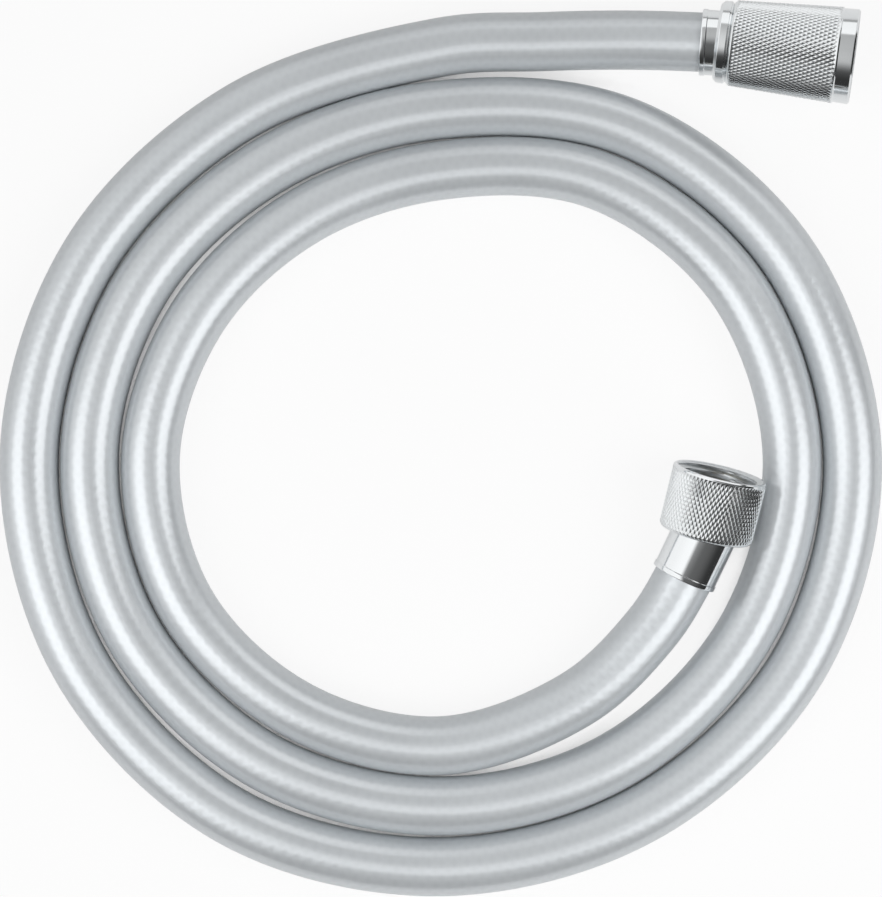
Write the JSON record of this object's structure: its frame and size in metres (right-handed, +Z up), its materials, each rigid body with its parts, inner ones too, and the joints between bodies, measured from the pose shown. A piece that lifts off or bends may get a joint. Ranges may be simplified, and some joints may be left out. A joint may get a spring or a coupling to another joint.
{
  "type": "shower hose",
  "caption": "Flexible plastic shower hose lying in a flat coil, with a straight knurled swivel nut for the mixer and a conical knurled swivel nut for the handset.",
  "frame": {"origin": "middle of the outline at the height of the surface that the coil lies on", "axes": "+Z up, +Y towards the stretch that ends in the handset nut, +X the way that nut points"},
  "size_m": [0.2189, 0.2221, 0.0262],
  "materials": {
    "hose_plastic": "satin silver-grey plastic with a faint braid under its skin",
    "chrome": "polished chrome plate",
    "brass": "turned brass",
    "rubber": "matte black rubber"
  },
  "bodies": {
    "hose": {"hose": "hose_plastic", "mixer_ferrule": "chrome", "mixer_insert": "brass", "handset_ferrule": "chrome", "handset_insert": "brass"},
    "mixer_nut": {"mixer_nut": "chrome", "mixer_washer": "rubber"},
    "handset_nut": {"handset_nut": "chrome", "handset_washer": "rubber"}
  },
  "joints": [
    {"name": "mixer_nut_spin", "type": "hinge", "parent": "hose", "child": "mixer_nut", "pos_m": [0.0655, -0.0213, 0.01136], "axis": [0.2182, 0.9603, 0.1736], "continuous": true},
    {"name": "handset_nut_spin", "type": "hinge", "parent": "hose", "child": "handset_nut", "pos_m": [0.0687, 0.101, 0.00991], "axis": [0.9811, -0.1344, 0.1392], "continuous": true}
  ]
}
